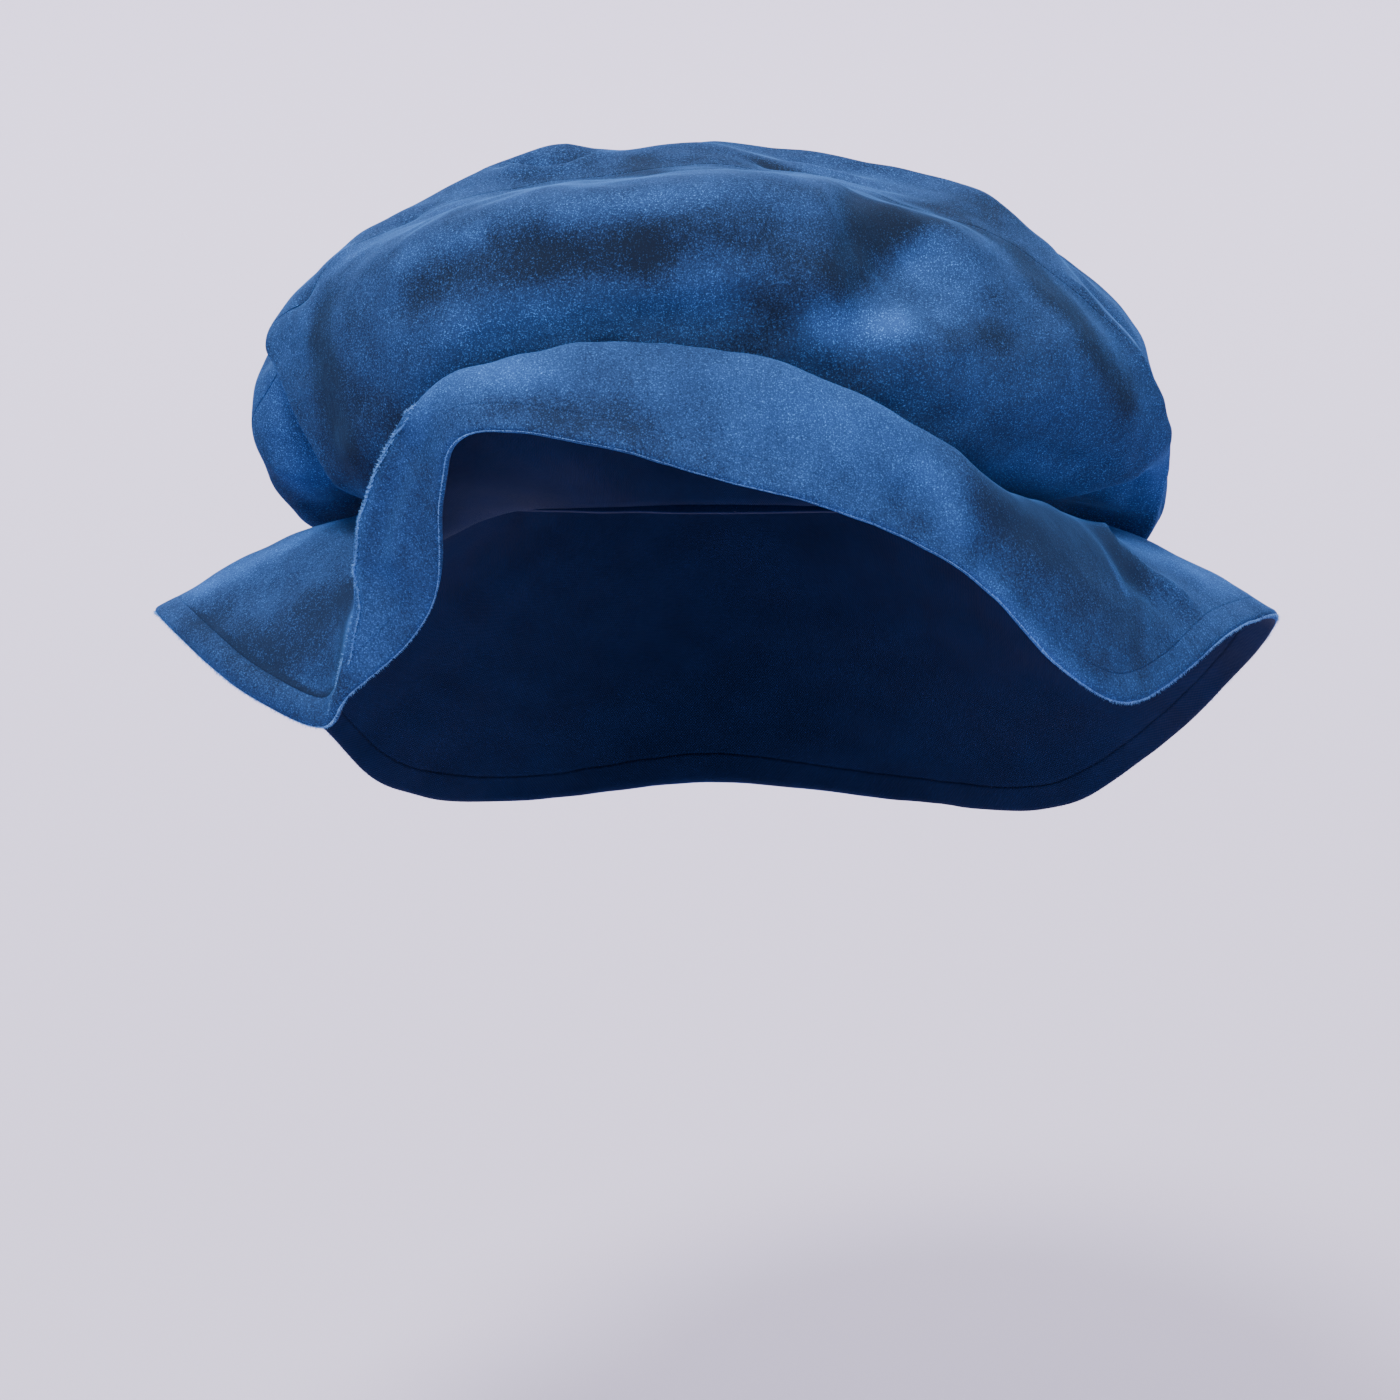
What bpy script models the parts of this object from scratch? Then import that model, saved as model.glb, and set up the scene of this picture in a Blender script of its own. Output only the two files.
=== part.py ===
# Floppy velvet Tudor cap: a gathered crown of two pieces and a wide waved brim, turned up at the front.
# The model is in metres. The tables are in millimetres, +X to the wearer's left, -Y at the face, +Z up.
# The origin is the centre of the oval opening where crown and brim are sewn together.

import bpy
import numpy as np

MM = 0.001

# Head opening: half width, half length, and how far it drops for each millimetre from front to back.
OPENING_HALF_WIDTH = 78.5
OPENING_HALF_LENGTH = 98.0
OPENING_TILT = 0.277

# Cloth.
VELVET_THICKNESS = 1.4
LINING_THICKNESS = 1.0
PIECE_GAP = 0.3
LAYER_GAP = 0.5
RIM_GAP = 1.2
HEM_WIDTH = 8.0
HEM_THICKNESS = 3.2
HEM_NOSE = 1.1
CROWN_SEAM_INSET = 0.5
CROWN_SEAM_LIFT = 1.0

# Gathers of the crown where it meets the opening.
GATHER_COUNT = 26
GATHER_DEPTH = 0.9
GATHER_REACH = 0.22

# Facets: stations round the cap, and rows from one edge of a piece to the other.
CROWN_STATIONS = 60
BRIM_STATIONS = 72
CROWN_SIDE_ROWS = 13
CROWN_TOP_ROWS = 8
BRIM_ROWS = 8
HEM_ROWS = 2
FINE_ROWS = 60

# Middle of the crown's top, on the head's vertex.
CROWN_MIDDLE = (0.0, 40.0, 97.0)
# The crest lies at this share of the way from the middle to the top piece's shoulder, on a dome
# of this power.
CREST_SHARE = 0.55
DOME_POWER = 2.2

# Crown sections. Each row runs from the opening at the angle "at" (0 the right of the photo, 90 the back,
# 270 the front) out to the lower bulge, up the face over a ledge to the shoulder of the side piece, on to
# the rim seam, and then to the shoulder of the top piece.
CROWN_COLUMNS = (
    "at",
    "bulge_x", "bulge_y", "bulge_z",
    "face_x", "face_y", "face_z",
    "ledge_x", "ledge_y", "ledge_z",
    "side_x", "side_y", "side_z",
    "rim_x", "rim_y", "rim_z",
    "top_x", "top_y", "top_z",
)
CROWN_SECTIONS = (
    (-5, 116, -6, 8, 121, -6, 10, 126, -6, 11, 129, -6, 14, 127, -10, 26, 124, 22, 44),
    (8, 112, 14, -6, 117, 14, -9, 123, 14, -13, 127, 14, -14, 131, 14, -4, 127, 34, 28),
    (20, 106, 30, -18, 111, 31, -22, 116, 33, -27, 120, 34, -28, 128, 34, -20, 120, 48, 18),
    (35, 98, 54, -26, 102, 56, -29, 106, 58, -33, 110, 60, -34, 116, 62, -22, 106, 68, 22),
    (60, 58, 98, -34, 61, 102, -35, 64, 106, -36, 66, 110, -36, 70, 114, -18, 62, 104, 34),
    (90, 0, 116, -36, 0, 121, -35, 0, 126, -33, 0, 130, -30, 0, 136, -6, 0, 116, 48),
    (120, -58, 98, -34, -61, 102, -35, -64, 106, -36, -66, 110, -36, -70, 114, -18, -62, 104, 34),
    (145, -94, 56, -26, -99, 57, -28, -104, 59, -30, -108, 60, -30, -114, 60, -16, -106, 66, 26),
    (162, -106, 28, -14, -109, 29, -16, -113, 29, -17, -116, 30, -18, -126, 30, -6, -124, 40, 30),
    (172, -108, 10, 0, -112, 10, -1, -117, 11, -2, -121, 11, -2, -135, 14, 18, -129, 26, 40),
    (181, -102, -6, 7, -106, -6, 9, -110, -6, 11, -113, -6, 14, -127, 0, 36, -120, 12, 54),
    (187, -104, -22, 10, -110, -25, 17, -114, -28, 27, -118, -28, 36, -126, -12, 54, -116, 8, 62),
    (197, -100, -40, 12, -107, -44, 21, -111, -46, 34, -114, -44, 46, -116, -26, 66, -108, 4, 72),
    (212, -92, -62, 20, -99, -66, 34, -100, -67, 54, -101, -62, 70, -103, -22, 80, -98, 4, 80),
    (228, -76, -82, 38, -80, -85, 54, -79, -85, 74, -78, -81, 88, -82, -15, 88, -80, 6, 89),
    (242, -51, -90, 54, -53, -92, 69, -53, -93, 86, -53, -90, 98, -56, -12, 96, -54, 10, 98),
    (256, -27, -95, 60, -28, -96, 75, -27, -96, 89, -27, -94, 101, -30, -12, 99, -29, 10, 101),
    (270, 0, -97, 61, 0, -97, 76, -1, -98, 91, -1, -95, 103, 0, -12, 102, 0, 10, 103),
    (286, 28, -94, 57, 28, -95, 74, 27, -93, 90, 27, -85, 101, 29, -13, 98, 30, 10, 95),
    (295, 42, -92, 50, 41, -92, 70, 40, -80, 84, 38, -68, 99, 42, -20, 96, 43, 10, 93),
    (302, 55, -88, 43, 54, -90, 70, 52, -64, 84, 52, -54, 97, 54, -28, 93, 56, 10, 91),
    (309, 67, -82, 40, 70, -80, 62, 70, -62, 78, 70, -50, 88, 68, -25, 88, 69, 10, 90),
    (316, 77, -72, 36, 84, -71, 50, 87, -62, 64, 86, -44, 76, 84, -20, 80, 82, 8, 86),
    (330, 95, -50, 25, 105, -49, 36, 110, -44, 48, 109, -34, 57, 106, -20, 63, 102, 8, 68),
    (344, 110, -26, 10, 119, -28, 14, 124, -26, 21, 126, -22, 29, 121, -20, 45, 118, 14, 52),
)

# Brim sections. Each row runs from the opening over the middle to the free edge. The middle is the crest
# of the turned-up front, the fold of the left flap and the line where the crown lies on the right flap.
BRIM_COLUMNS = ("at", "middle_x", "middle_y", "middle_z", "edge_x", "edge_y", "edge_z")
BRIM_SECTIONS = (
    (0, 122, -6, -10, 164, 0, -35),
    (15, 118, 26, -32, 154, 34, -64),
    (30, 104, 50, -60, 132, 58, -95),
    (45, 84, 66, -72, 105, 66, -115),
    (65, 48, 88, -80, 62, 82, -119),
    (90, 0, 104, -78, 0, 94, -117),
    (115, -48, 88, -80, -62, 82, -119),
    (135, -84, 64, -66, -99, 64, -108),
    (150, -103, 46, -50, -121, 50, -82),
    (165, -116, 24, -28, -146, 28, -58),
    (180, -118, -4, -8, -163, 0, -33),
    (195, -112, -30, -4, -147, -40, -35),
    (207, -106, -50, -6, -131, -62, -40),
    (217, -102, -68, -12, -111, -80, -43),
    (223, -99, -81, -6, -98, -87, -33),
    (228, -98, -88, 12, -85, -93, -14),
    (233, -92, -95, 32, -77, -100, 4),
    (239, -84, -102, 49, -76, -110, 30),
    (245, -74, -110, 62, -71, -119, 50),
    (252, -58, -113, 69, -55, -128, 56),
    (261, -30, -112, 75, -29, -134, 53),
    (270, 0, -110, 73, 0, -133, 44),
    (281, 20, -110, 68, 27, -130, 36),
    (292, 42, -107, 58, 54, -122, 23),
    (302, 60, -102, 45, 73, -115, 6),
    (313, 73, -94, 33, 92, -106, -18),
    (323, 86, -77, 22, 112, -93, -34),
    (333, 98, -56, 12, 131, -70, -36),
    (345, 111, -33, 0, 150, -42, -30),
)

# The rim seam is at the end of this many spans of a crown section.
SPANS_TO_RIM = 5

# Folds and dents of the crown: each runs between two points, and "depth" is above the cloth if positive.
FOLD_COLUMNS = ("x0", "y0", "z0", "x1", "y1", "z1", "width", "depth")
CROWN_FOLDS = (
    (36, -74, 88, 58, -48, 82, 11, -10.0),
    (30, -94, 66, 68, -70, 70, 10, 5.0),
    (14, -2, 99, 50, -6, 88, 5, -2.5),
    (-56, -90, 98, -44, -92, 99, 9, -3.0),
    (-80, -82, 88, -68, -86, 92, 9, -3.0),
    (-54, 9, 96, -38, 11, 99, 6, -2.6),
    (-121, -28, 45, -101, -42, 11, 6, 3.2),
    (-125, -3, 42, -106, -10, 14, 6, -4.0),
    (84, -70, 30, 124, -22, 21, 6, -4.0),
    (104, 2, 66, 124, 0, 38, 7, -3.4),
    (-96, 70, 40, -30, 100, 60, 14, 3.0),
    (84, 60, 58, 20, 92, 68, 12, -3.0),
    (-10, 70, 84, 8, 126, 34, 11, 2.5),
)


def column_table(names, rows):
    """Turns the rows into one array for each column name."""
    return dict(zip(names, np.array(rows, float).T))


def round_spline(values, count, step=0.0):
    """Smooth closed curve through the rows, at places spread evenly between them."""
    rows = len(values)
    place = np.arange(count) * rows / count
    before = place.astype(int)
    part = place - before
    a, b, c, d = (values[(before + k) % rows] for k in (-1, 0, 1, 2))
    a = a - step * (before == 0)
    c = c + step * (before + 1 >= rows)
    d = d + step * (before + 2 >= rows)
    cubic = 3 * (b - c) + d - a
    square = 2 * a - 5 * b + 4 * c - d
    return b + 0.5 * part * (c - a + part * (square + part * cubic))


def section_spline(points, at):
    """Smooth curve through the points of every section, at these shares of its length."""
    spans = np.linalg.norm(np.diff(points, axis=1), axis=2) + 1e-6
    knots = np.concatenate([np.zeros((len(points), 1)), np.cumsum(spans, axis=1)], axis=1)
    slopes = np.diff(points, axis=1) / spans[:, :, None]
    weight = (spans[:, :-1] / (spans[:, :-1] + spans[:, 1:]))[:, :, None]
    inner = slopes[:, :-1] * (1 - weight) + slopes[:, 1:] * weight
    first = 1.5 * slopes[:, :1] - 0.5 * inner[:, :1]
    last = 1.5 * slopes[:, -1:] - 0.5 * inner[:, -1:]
    tangents = np.concatenate([first, inner, last], axis=1)
    where = knots[:, -1:] * at
    span = np.clip((where[:, :, None] >= knots[:, None, 1:-1]).sum(axis=2), 0, spans.shape[1] - 1)
    row = np.arange(len(points))[:, None]
    length = spans[row, span]
    t = ((where - knots[row, span]) / length)[:, :, None]
    length = length[:, :, None]
    start = points[row, span] * (1 + 2 * t) + length * t * tangents[row, span]
    end = points[row, span + 1] * (3 - 2 * t) - length * (1 - t) * tangents[row, span + 1]
    return start * (1 - t) ** 2 + end * t ** 2


def opening_point(angle):
    """Point of the oval opening at this angle."""
    x = OPENING_HALF_WIDTH * np.cos(angle)
    y = OPENING_HALF_LENGTH * np.sin(angle)
    return np.stack([x, y, -OPENING_TILT * y], axis=-1)


def xyz(table, name, count):
    """The three columns of a named point, smoothed round the cap."""
    return np.stack([round_spline(table[f"{name}_{axis}"], count) for axis in "xyz"], axis=-1)


def normals_of(grid):
    """Unit normals of a grid that is closed along its first side. They point away from the cap's inside."""
    along = np.roll(grid, -1, axis=0) - np.roll(grid, 1, axis=0)
    across = np.gradient(grid, axis=1)
    normal = np.cross(along, across)
    return normal / (np.linalg.norm(normal, axis=2, keepdims=True) + 1e-9)


def fold_height(points):
    """How far the folds and dents of the table lift the cloth at each point."""
    height = np.zeros(points.shape[:-1])
    for row in CROWN_FOLDS:
        fold = dict(zip(FOLD_COLUMNS, row))
        start = np.array([fold["x0"], fold["y0"], fold["z0"]], float)
        run = np.array([fold["x1"], fold["y1"], fold["z1"]], float) - start
        share = np.clip((points - start) @ run / (run @ run), 0, 1)
        distance = np.linalg.norm(points - start - share[..., None] * run, axis=-1)
        height = height + fold["depth"] * np.exp(-((distance / fold["width"]) ** 2))
    return height


def crown_surface():
    """Outer face of the crown on a fine grid, from the opening over the rim seam to the middle."""
    table = column_table(CROWN_COLUMNS, CROWN_SECTIONS)
    angle = np.radians(round_spline(table["at"], CROWN_STATIONS, 360.0))
    seam = opening_point(angle)
    inward = 1 - CROWN_SEAM_INSET / np.linalg.norm(seam[:, :2], axis=1, keepdims=True)
    seam = np.concatenate([seam[:, :2] * inward, seam[:, 2:] + CROWN_SEAM_LIFT], axis=1)
    named = [xyz(table, name, CROWN_STATIONS) for name in ("bulge", "face", "ledge", "side", "rim", "top")]
    middle = np.broadcast_to(CROWN_MIDDLE, seam.shape)
    fall = named[-1] - middle
    crest = middle + fall * (CREST_SHARE, CREST_SHARE, CREST_SHARE ** DOME_POWER)
    points = np.stack([seam] + named + [crest, middle], axis=1)
    spans = np.linalg.norm(np.diff(points, axis=1), axis=2)
    rim_share = spans[:, :SPANS_TO_RIM].sum(axis=1) / spans.sum(axis=1)
    side_at = rim_share[:, None] * np.linspace(0, 1, FINE_ROWS + 1)
    top_at = rim_share[:, None] + (1 - rim_share[:, None]) * np.linspace(0, 1, FINE_ROWS + 1)[1:]
    at = np.concatenate([side_at, top_at], axis=1)
    grid = section_spline(points, at)
    normal = normals_of(grid)
    rise = np.linspace(0, 1, FINE_ROWS + 1)
    rise = np.concatenate([rise, np.ones(FINE_ROWS)])
    near_seam = np.clip(rise / GATHER_REACH, 0, 1) * np.exp(-((rise / GATHER_REACH) ** 2))
    gather = GATHER_DEPTH * near_seam * np.cos(GATHER_COUNT * angle)[:, None]
    lift = fold_height(grid) + gather
    lift[:, -1] = 0
    return grid + normal * lift[:, :, None]


def brim_surface():
    """Velvet face of the brim on a fine grid, from the opening to the free edge."""
    table = column_table(BRIM_COLUMNS, BRIM_SECTIONS)
    angle = np.radians(round_spline(table["at"], BRIM_STATIONS, 360.0))
    seam = opening_point(angle)
    middle = xyz(table, "middle", BRIM_STATIONS)
    edge = xyz(table, "edge", BRIM_STATIONS)
    points = np.stack([seam, middle, edge], axis=1)
    return section_spline(points, np.linspace(0, 1, FINE_ROWS + 1)[None, :])


def resample(grid, start, end, rows):
    """Equal rows of every section between two lengths in millimetres. A negative end counts back."""
    spans = np.linalg.norm(np.diff(grid, axis=1), axis=2)
    length = np.concatenate([np.zeros((len(grid), 1)), np.cumsum(spans, axis=1)], axis=1)
    out = np.empty((len(grid), rows + 1, 3))
    for station, (line, place) in enumerate(zip(grid, length)):
        stop = place[-1] + end if end <= 0 else end
        wanted = np.linspace(start, stop, rows + 1)
        for axis in range(3):
            out[station, :, axis] = np.interp(wanted, place, line[:, axis])
    return out


def grid_faces(stations, rows, flip=False):
    """Quads of a grid that is closed along its first side."""
    i = np.arange(stations)[:, None]
    j = np.arange(rows)[None, :]
    near = i * (rows + 1) + j
    far = (i + 1) % stations * (rows + 1) + j
    quads = np.stack([near, far, far + 1, near + 1], axis=-1).reshape(-1, 4)
    if flip:
        quads = quads[:, ::-1]
    return quads.tolist()


def add_piece(name, points, faces, material, thickness=0.0):
    """Makes the named sub-part. A thickness turns the sheet into a closed wall below its face."""
    mesh = bpy.data.meshes.new(name)
    mesh.from_pydata((np.asarray(points).reshape(-1, 3) * MM).tolist(), [], faces)
    mesh.materials.append(material)
    mesh.polygons.foreach_set("use_smooth", [True] * len(mesh.polygons))
    mesh.update()
    piece = bpy.data.objects.new(name, mesh)
    bpy.data.collections["tudor_beret"].objects.link(piece)
    if thickness:
        wall = piece.modifiers.new("Cloth wall", "SOLIDIFY")
        wall.thickness = thickness * MM
        wall.offset = -1.0
    return piece


def add_sheet(name, grid, material, thickness, flip=False):
    """A ring of cloth with this outer face."""
    stations, rows = grid.shape[0], grid.shape[1] - 1
    return add_piece(name, grid, grid_faces(stations, rows, flip), material, thickness)


def add_cap_sheet(name, grid, material, thickness):
    """A disc of cloth whose last row is one point."""
    stations, rows = grid.shape[0], grid.shape[1] - 1
    ring = grid[:, :-1]
    faces = grid_faces(stations, rows - 1)
    middle = stations * rows
    last = [station * rows + rows - 1 for station in range(stations)]
    for station in range(stations):
        faces.append([last[station], last[(station + 1) % stations], middle])
    points = np.concatenate([ring.reshape(-1, 3), grid[:1, -1]])
    return add_piece(name, points, faces, material, thickness)


def add_hem(name, grid, material):
    """Closed band with rounded corners round the free edge, over the edges of both layers."""
    band = resample(grid[:, ::-1], 0.0, HEM_WIDTH, HEM_ROWS)
    normal = normals_of(band)
    edge, middle, inner = band[:, 0], band[:, 1], band[:, 2]
    lift = (HEM_THICKNESS - VELVET_THICKNESS - LAYER_GAP - LINING_THICKNESS) / 2
    depth = lift - HEM_THICKNESS
    outward = edge - middle
    outward = outward / np.linalg.norm(outward, axis=1, keepdims=True)
    loop = [
        inner + normal[:, 2] * lift,
        middle + normal[:, 1] * lift,
        edge + normal[:, 0] * lift,
        edge + normal[:, 0] * (lift + depth) / 2 + outward * HEM_NOSE,
        edge + normal[:, 0] * depth,
        inner + normal[:, 2] * depth,
    ]
    count = len(loop)
    points = np.stack(loop, axis=1)
    stations = len(points)
    faces = []
    for station in range(stations):
        after = (station + 1) % stations
        for corner in range(count):
            beside = (corner + 1) % count
            faces.append([
                station * count + corner,
                station * count + beside,
                after * count + beside,
                after * count + corner,
            ])
    return add_piece(name, points, faces, material)


def make_material(name, colour, roughness, sheen):
    """Cloth of one colour with a soft sheen."""
    material = bpy.data.materials.new(name)
    material.use_nodes = True
    shader = material.node_tree.nodes["Principled BSDF"]
    shader.inputs["Base Color"].default_value = (*colour, 1.0)
    shader.inputs["Roughness"].default_value = roughness
    shader.inputs["Sheen Weight"].default_value = sheen
    return material


def main():
    for old in list(bpy.data.objects):
        bpy.data.objects.remove(old, do_unlink=True)
    collection = bpy.data.collections.new("tudor_beret")
    bpy.context.scene.collection.children.link(collection)

    crown_side_velvet = make_material("crown_side_velvet", (0.035, 0.13, 0.36), 0.85, 0.6)
    crown_top_velvet = make_material("crown_top_velvet", (0.04, 0.14, 0.38), 0.85, 0.6)
    brim_velvet = make_material("brim_velvet", (0.045, 0.16, 0.42), 0.85, 0.6)
    hem_velvet = make_material("hem_velvet", (0.03, 0.11, 0.32), 0.85, 0.5)
    lining_cloth = make_material("lining_cloth", (0.003, 0.012, 0.07), 0.7, 0.2)

    crown = crown_surface()
    side = resample(crown[:, :FINE_ROWS + 1], 0.0, -RIM_GAP / 2, CROWN_SIDE_ROWS)
    top = resample(crown[:, FINE_ROWS:], RIM_GAP / 2, 0.0, CROWN_TOP_ROWS)
    add_sheet("crown_side", side, crown_side_velvet, VELVET_THICKNESS)
    add_cap_sheet("crown_top", top, crown_top_velvet, VELVET_THICKNESS)

    brim = brim_surface()
    velvet = resample(brim, 0.0, -(HEM_WIDTH + 2 * PIECE_GAP), BRIM_ROWS)
    add_sheet("brim", velvet, brim_velvet, VELVET_THICKNESS, flip=True)
    lining = velvet + normals_of(velvet) * (VELVET_THICKNESS + LAYER_GAP)
    add_sheet("brim_lining", lining, lining_cloth, LINING_THICKNESS, flip=True)
    add_hem("brim_hem", brim, hem_velvet)


main()
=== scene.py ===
# Looks of the velvet cap. The shapes are cloth surfaces worked out from short tables of sections,
# in millimetres until the mesh is made: +X right in the photo, -Y towards the camera, +Z up.
import math

import bpy
import numpy as np
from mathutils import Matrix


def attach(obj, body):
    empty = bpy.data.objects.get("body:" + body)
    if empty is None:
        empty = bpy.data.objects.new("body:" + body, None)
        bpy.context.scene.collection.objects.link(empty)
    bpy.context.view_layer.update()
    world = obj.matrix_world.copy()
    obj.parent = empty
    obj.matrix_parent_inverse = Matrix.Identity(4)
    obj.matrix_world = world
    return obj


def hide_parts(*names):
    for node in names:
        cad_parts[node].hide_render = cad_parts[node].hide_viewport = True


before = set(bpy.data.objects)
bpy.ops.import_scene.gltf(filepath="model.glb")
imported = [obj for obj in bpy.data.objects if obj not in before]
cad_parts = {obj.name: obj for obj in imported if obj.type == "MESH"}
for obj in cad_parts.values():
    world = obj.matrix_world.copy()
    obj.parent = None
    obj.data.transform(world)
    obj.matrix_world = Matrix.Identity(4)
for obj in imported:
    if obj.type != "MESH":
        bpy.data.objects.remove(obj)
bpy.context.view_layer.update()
print("frame loaded")

mm = 0.001
opening = {"halfWidth": 78.5, "halfLength": 98.0, "tilt": 0.277}
waves = {"count": 14, "shortest": 0.7, "longest": 1.5}
fading = {"widths": 1.5, "endShare": 0.4, "shineWidth": 1.3, "shineReach": 12.0}


# maths that the pieces share

# closed curve through the rows of a table: a cubic between each two rows, in even steps of row number
def roundSpline(values, count, step=0.0):
    rows = len(values)
    place = np.arange(count) * rows / count
    before = place.astype(int)
    part = place - before
    a, b, c, d = (values[(before + k) % rows] for k in (-1, 0, 1, 2))
    a = a - step * (before == 0)
    c = c + step * (before + 1 >= rows)
    d = d + step * (before + 2 >= rows)
    cubic = 3 * (b - c) + d - a
    square = 2 * a - 5 * b + 4 * c - d
    return b + 0.5 * part * (c - a + part * (square + part * cubic))


# smooth curve through the points of each section: a Hermite cubic for each span, knots at chord length
def sectionSpline(points, at):
    spans = np.linalg.norm(np.diff(points, axis=1), axis=2) + 1e-6
    knots = np.concatenate([np.zeros((len(points), 1)), np.cumsum(spans, axis=1)], axis=1)
    slopes = np.diff(points, axis=1) / spans[:, :, None]
    weight = (spans[:, :-1] / (spans[:, :-1] + spans[:, 1:]))[:, :, None]
    inner = slopes[:, :-1] * (1 - weight) + slopes[:, 1:] * weight
    first = 1.5 * slopes[:, :1] - 0.5 * inner[:, :1]
    last = 1.5 * slopes[:, -1:] - 0.5 * inner[:, -1:]
    tangents = np.concatenate([first, inner, last], axis=1)
    where = knots[:, -1:] * at
    span = np.clip((where[:, :, None] >= knots[:, None, 1:-1]).sum(axis=2), 0, spans.shape[1] - 1)
    row = np.arange(len(points))[:, None]
    length = spans[row, span]
    t = ((where - knots[row, span]) / length)[:, :, None]
    length = length[:, :, None]
    start = points[row, span] * (1 + 2 * t) + length * t * tangents[row, span]
    end = points[row, span + 1] * (3 - 2 * t) - length * (1 - t) * tangents[row, span + 1]
    return start * (1 - t) ** 2 + end * t ** 2


# vectors divided by their lengths
def unit(vectors):
    return vectors / np.linalg.norm(vectors, axis=-1, keepdims=True)


# closed curves round a piece, one for each three columns of its section table
def sectionCurves(sections, count):
    groups = (sections.shape[1] - 1) // 3
    return [np.stack([roundSpline(sections[:, 1 + 3 * k + axis], count) for axis in range(3)], axis=-1)
            for k in range(groups)]


# x = a cos, y = b sin, z falls towards the back with the tilt
def openingPoint(angle):
    x = opening["halfWidth"] * np.cos(angle)
    y = opening["halfLength"] * np.sin(angle)
    return np.stack([x, y, -opening["tilt"] * y], axis=-1)


# unit cross product of the steps along and across a grid that is closed along its first side
def normalsOf(grid):
    along = np.roll(grid, -1, axis=0) - np.roll(grid, 1, axis=0)
    across = np.gradient(grid, axis=1)
    normal = np.cross(along, across)
    return normal / (np.linalg.norm(normal, axis=2, keepdims=True) + 1e-9)


# soft uneven height, mostly from -1 to 1: waves of about this length in seeded directions, summed
def ripple(points, wavelength, seed):
    rng = np.random.default_rng(seed)
    height = np.zeros(points.shape[:-1])
    for _ in range(waves["count"]):
        direction = rng.normal(size=3)
        direction = direction / np.linalg.norm(direction)
        turn = 2 * math.pi / (wavelength * rng.uniform(waves["shortest"], waves["longest"]))
        height = height + np.sin(points @ direction * turn + rng.uniform(0, 2 * math.pi))
    return height / math.sqrt(waves["count"])


# the height plus, for each layer, its share * a ripple of its wavelength and seed
def withRipples(height, points, layers):
    for share, wavelength, seed in layers:
        height = height + share * ripple(points, wavelength, seed)
    return height


# nearest distance of each point to a path of straight runs, and how far along the path that is
def pathDistance(points, path):
    path = np.array(path, float)
    runs = np.diff(path, axis=0)
    lengths = np.linalg.norm(runs, axis=1)
    starts = np.concatenate([[0], np.cumsum(lengths)])
    nearest = np.full(points.shape[:-1], 1e9)
    along = np.zeros(points.shape[:-1])
    for start, run, length, before in zip(path, runs, lengths, starts):
        offset = points - start
        share = np.clip(offset @ run / (run @ run), 0, 1)
        distance = np.linalg.norm(offset - share[..., None] * run, axis=-1)
        closer = distance < nearest
        nearest = np.where(closer, distance, nearest)
        along = np.where(closer, before + share * length, along)
    return nearest, along, starts[-1]


# 0 at both ends of a path, rising evenly to 1 at this reach from them
def awayFromEnds(along, length, reach):
    return np.clip(along / reach, 0, 1) * np.clip((length - along) / reach, 0, 1)


# sum over the folds of depth * exp(-(distance / width) ** sharp), with a smaller share at each path's ends
def foldHeight(points, folds):
    height = np.zeros(points.shape[:-1])
    for fold in folds.values():
        nearest, along, length = pathDistance(points, fold["path"])
        reach = min(fold["width"] * fading["widths"], length / 2)
        ends = awayFromEnds(along, length, reach) * (1 - fading["endShare"]) + fading["endShare"]
        height = height + fold["depth"] * np.exp(-((nearest / fold["width"]) ** fold["sharp"])) * ends
    return height


# painted highlight along a sharp fold's crest: shine * exp(-(distance / width) ** 2), fading at the path's ends
def foldShine(points, folds):
    shine = np.zeros(points.shape[:-1])
    for fold in folds.values():
        if "shine" in fold:
            nearest, along, length = pathDistance(points, fold["path"])
            ends = awayFromEnds(along, length, fading["shineReach"])
            opened = np.exp(-((nearest / fading["shineWidth"]) ** 2)) * ends
            shine = np.maximum(shine, fold["shine"] * opened)
    return shine


# painted light and shade, + lighter where the cloth is lit and - darker where it lies in shade: the sum over
# the strokes of the stroke's value * exp(-(distance / width) ** 2)
def paintedShadingOf(points, strokes):
    paintedShading = np.zeros(points.shape[:-1])
    for stroke in strokes.values():
        nearest = pathDistance(points, stroke["path"])[0]
        paintedShading = paintedShading + stroke["paintedShading"] * np.exp(-((nearest / stroke["width"]) ** 2))
    return paintedShading


# the stretch of each section between two lengths, in equal rows; an end at or below zero counts back
def resample(grid, start, end, rows):
    spans = np.linalg.norm(np.diff(grid, axis=1), axis=2)
    length = np.concatenate([np.zeros((len(grid), 1)), np.cumsum(spans, axis=1)], axis=1)
    stop = length[:, -1] + end if end <= 0 else np.full(len(grid), float(end))
    wanted = start + (stop - start)[:, None] * np.linspace(0, 1, rows + 1)
    span = np.clip((wanted[:, :, None] >= length[:, None, 1:-1]).sum(axis=2), 0, spans.shape[1] - 1)
    row = np.arange(len(grid))[:, None]
    t = ((wanted - length[row, span]) / (spans[row, span] + 1e-9))[:, :, None]
    return grid[row, span] * (1 - t) + grid[row, span + 1] * t


# seam allowance: the edge row rolls in through a quarter circle and runs on straight, away from the outside
def turnIn(grid, radius, length, atEnd=True):
    edge = grid[:, -1] if atEnd else grid[:, 0]
    beside = grid[:, -2] if atEnd else grid[:, 1]
    normal = normalsOf(grid)[:, -1 if atEnd else 0]
    forward = unit(edge - beside)
    turns = np.radians((25, 50, 75, 90))
    rolled = [edge + forward * radius * math.sin(a) - normal * radius * (1 - math.cos(a)) for a in turns]
    rolled.append(rolled[-1] - normal * length)
    rolled = np.stack(rolled, axis=1)
    parts = [grid, rolled] if atEnd else [rolled[:, ::-1], grid]
    return np.concatenate(parts, axis=1)


# meshes from grids of points

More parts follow.
